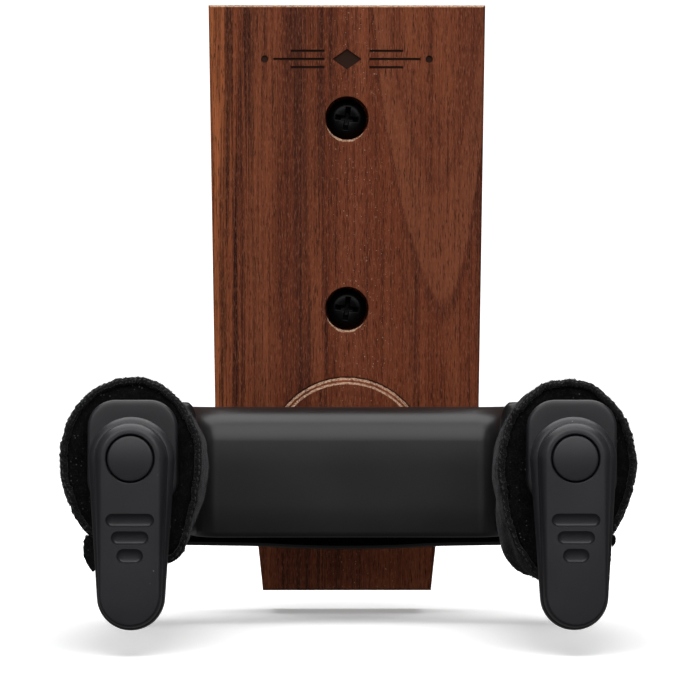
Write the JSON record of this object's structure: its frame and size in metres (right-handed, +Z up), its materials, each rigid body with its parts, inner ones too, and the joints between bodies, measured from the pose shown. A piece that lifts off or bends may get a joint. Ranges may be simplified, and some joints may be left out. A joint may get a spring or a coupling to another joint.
{
  "type": "wall guitar hanger",
  "caption": "Wall hanger for a stringed instrument: a walnut plate carries a swivelling yoke with felt-covered arms and a swinging gate at the end of each arm.",
  "frame": {"origin": "on the back face of the plate, midway between the two wall screws", "axes": "+Y into the wall, square to the plate's back; -Y forward along the arms; +Z up; +X to the right as seen from the front"},
  "size_m": [0.1176, 0.177, 0.136],
  "materials": {
    "walnut": "oiled, satin",
    "disc_walnut": "oiled face, pale rough-cut chamfer",
    "black_zinc": "black zinc, satin",
    "bright_steel": "zinc-plated",
    "black_plastic": "moulded, satin",
    "charcoal_plastic": "moulded, matt",
    "gate_plastic": "moulded, matt",
    "white_nylon": "natural nylon",
    "black_foam": "closed-cell foam",
    "black_felt": "brushed felt"
  },
  "bodies": {
    "plate": {"backplate": "walnut", "pivot_disc": "disc_walnut", "wall_screw_upper": "black_zinc", "wall_screw_lower": "black_zinc", "hub_bush": "white_nylon", "thrust_washer": "white_nylon", "rear_washer": "bright_steel", "spring_washer": "bright_steel"},
    "yoke": {"yoke_shell": "black_plastic", "yoke_rod": "bright_steel", "swivel_stud": "bright_steel", "lock_nut": "bright_steel", "left_pad_core": "black_foam", "left_sleeve": "black_felt", "left_end_panel": "black_felt", "left_end_cap": "charcoal_plastic", "left_pivot_screw": "bright_steel", "left_wave_washer": "bright_steel", "left_button_cap": "charcoal_plastic", "right_pad_core": "black_foam", "right_sleeve": "black_felt", "right_end_panel": "black_felt", "right_end_cap": "charcoal_plastic", "right_pivot_screw": "bright_steel", "right_wave_washer": "bright_steel", "right_button_cap": "charcoal_plastic"},
    "left_gate": {"left_gate": "gate_plastic"},
    "right_gate": {"right_gate": "gate_plastic"}
  },
  "joints": [
    {"name": "yoke_swivel", "type": "hinge", "parent": "plate", "child": "yoke", "pos_m": [0, -0.0234, -0.0565], "axis": [0, 1, 0], "continuous": true},
    {"name": "left_gate_turn", "type": "hinge", "parent": "yoke", "child": "left_gate", "pos_m": [-0.0444, -0.13607, -0.05371], "axis": [0, -0.9976, 0.0698], "range_deg": [0, 90]},
    {"name": "right_gate_turn", "type": "hinge", "parent": "yoke", "child": "right_gate", "pos_m": [0.0444, -0.13607, -0.05371], "axis": [0, 0.9976, -0.0698], "range_deg": [0, 90]}
  ]
}
